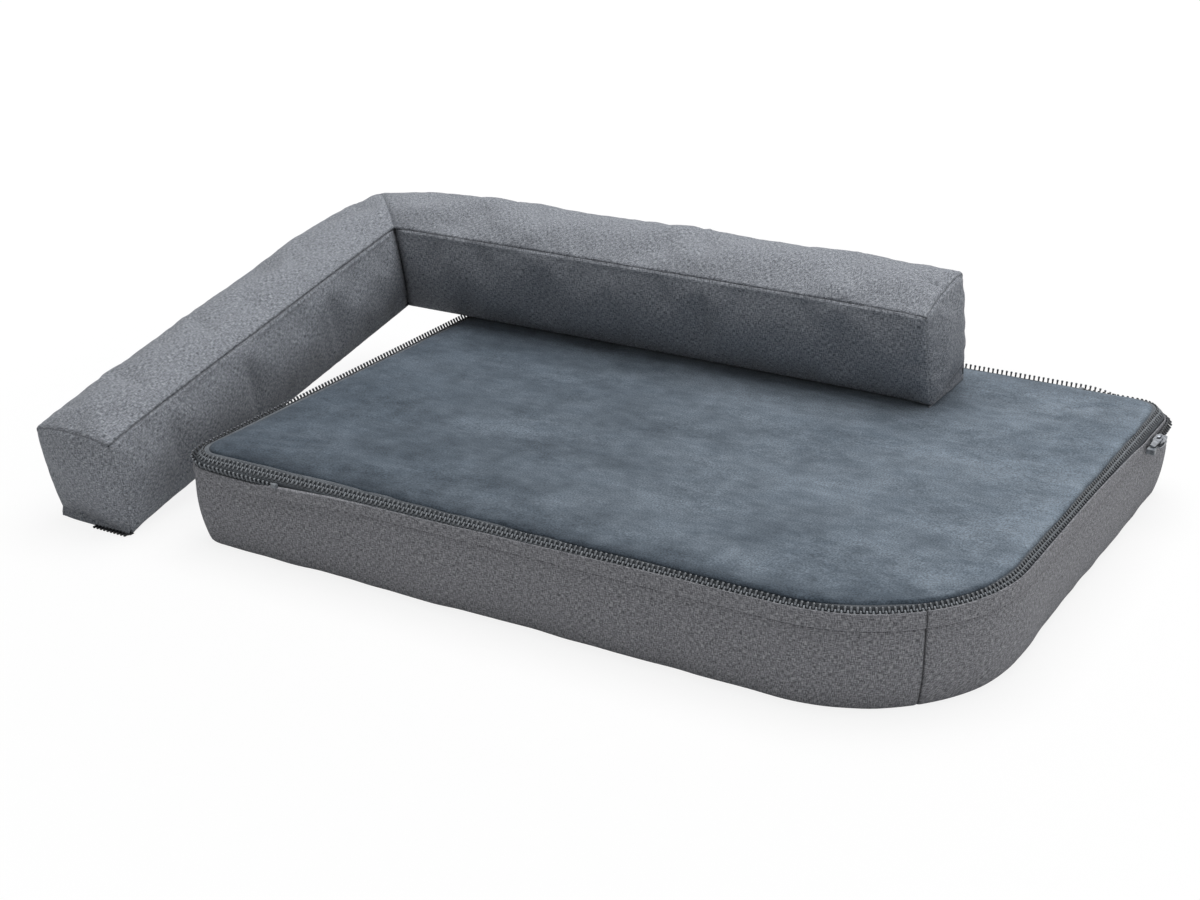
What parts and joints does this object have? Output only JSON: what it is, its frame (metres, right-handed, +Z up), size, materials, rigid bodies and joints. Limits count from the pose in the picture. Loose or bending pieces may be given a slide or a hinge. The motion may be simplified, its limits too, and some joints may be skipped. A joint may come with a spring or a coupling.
{
  "type": "dog bed",
  "caption": "Low dog bed: a plush-topped foam mattress with a zipped cover and a stuffed L-shaped bolster that zips onto its edge.",
  "frame": {"origin": "middle of the mattress's underside, on the floor", "axes": "+X to the right along the mattress's length, +Y towards the back, +Z up"},
  "size_m": [0.9892, 0.6599, 0.2337],
  "materials": {
    "plush": "short brushed pile",
    "woven_canvas": "mottled woven canvas",
    "foam": "open foam",
    "stuffing": "polyester fibre",
    "zip_tape": "fine woven tape",
    "zip_plastic": "moulded, slightly glossy",
    "zip_metal": "worn nickel"
  },
  "bodies": {
    "mattress": {"top_panel": "plush", "front_wall_panel": "woven_canvas", "back_wall_panel": "woven_canvas", "base_panel": "woven_canvas", "wall_lip": "woven_canvas", "foam_core": "foam", "cover_zip_upper_tape": "zip_tape", "cover_zip_lower_tape": "zip_tape", "bolster_zip_mattress_tape": "zip_tape", "cover_zip_upper_teeth": "zip_plastic", "cover_zip_lower_teeth": "zip_plastic", "cover_zip_stops": "zip_plastic", "bolster_zip_mattress_teeth": "zip_plastic", "bolster_zip_box": "zip_plastic", "bolster_zip_front_stop": "zip_plastic"},
    "cover_slider": {"cover_zip_slider": "zip_metal"},
    "cover_pull": {"cover_zip_pull": "zip_metal"},
    "bolster_slider": {"bolster_zip_slider": "zip_metal"},
    "bolster_pull": {"bolster_zip_pull": "zip_metal"},
    "bolster": {"long_arm_top_panel": "woven_canvas", "long_arm_inner_panel": "woven_canvas", "long_arm_outer_panel": "woven_canvas", "long_arm_base_panel": "woven_canvas", "long_arm_end_panel": "woven_canvas", "short_arm_top_panel": "woven_canvas", "short_arm_inner_panel": "woven_canvas", "short_arm_outer_panel": "woven_canvas", "short_arm_base_panel": "woven_canvas", "short_arm_end_panel": "woven_canvas", "long_arm_filling": "stuffing", "short_arm_filling": "stuffing", "bolster_skirt": "woven_canvas", "bolster_zip_bolster_tape": "zip_tape", "bolster_zip_bolster_teeth": "zip_plastic", "bolster_zip_pin": "zip_plastic"}
  },
  "joints": [
    {"name": "bolster_lift", "type": "slide", "parent": "mattress", "child": "bolster", "axis": [0, 0, 1], "range_m": [0, 0.25]},
    {"name": "bolster_zip_slide", "type": "slide", "parent": "mattress", "child": "bolster_slider", "axis": [0, -1, 0], "range_m": [0, 0.014]},
    {"name": "bolster_zip_pull_swing", "type": "hinge", "parent": "bolster_slider", "child": "bolster_pull", "pos_m": [0.41508, 0.226, 0.0865], "axis": [-1, 0, 0], "range_deg": [0, 120]},
    {"name": "cover_zip_slide", "type": "slide", "parent": "mattress", "child": "cover_slider", "axis": [-1, 0, 0], "range_m": [0, 0.08]},
    {"name": "cover_zip_pull_swing", "type": "hinge", "parent": "cover_slider", "child": "cover_pull", "pos_m": [-0.262, 0.30318, 0.09618], "axis": [0, 0.7071, -0.7071], "range_deg": [0, 150]}
  ]
}
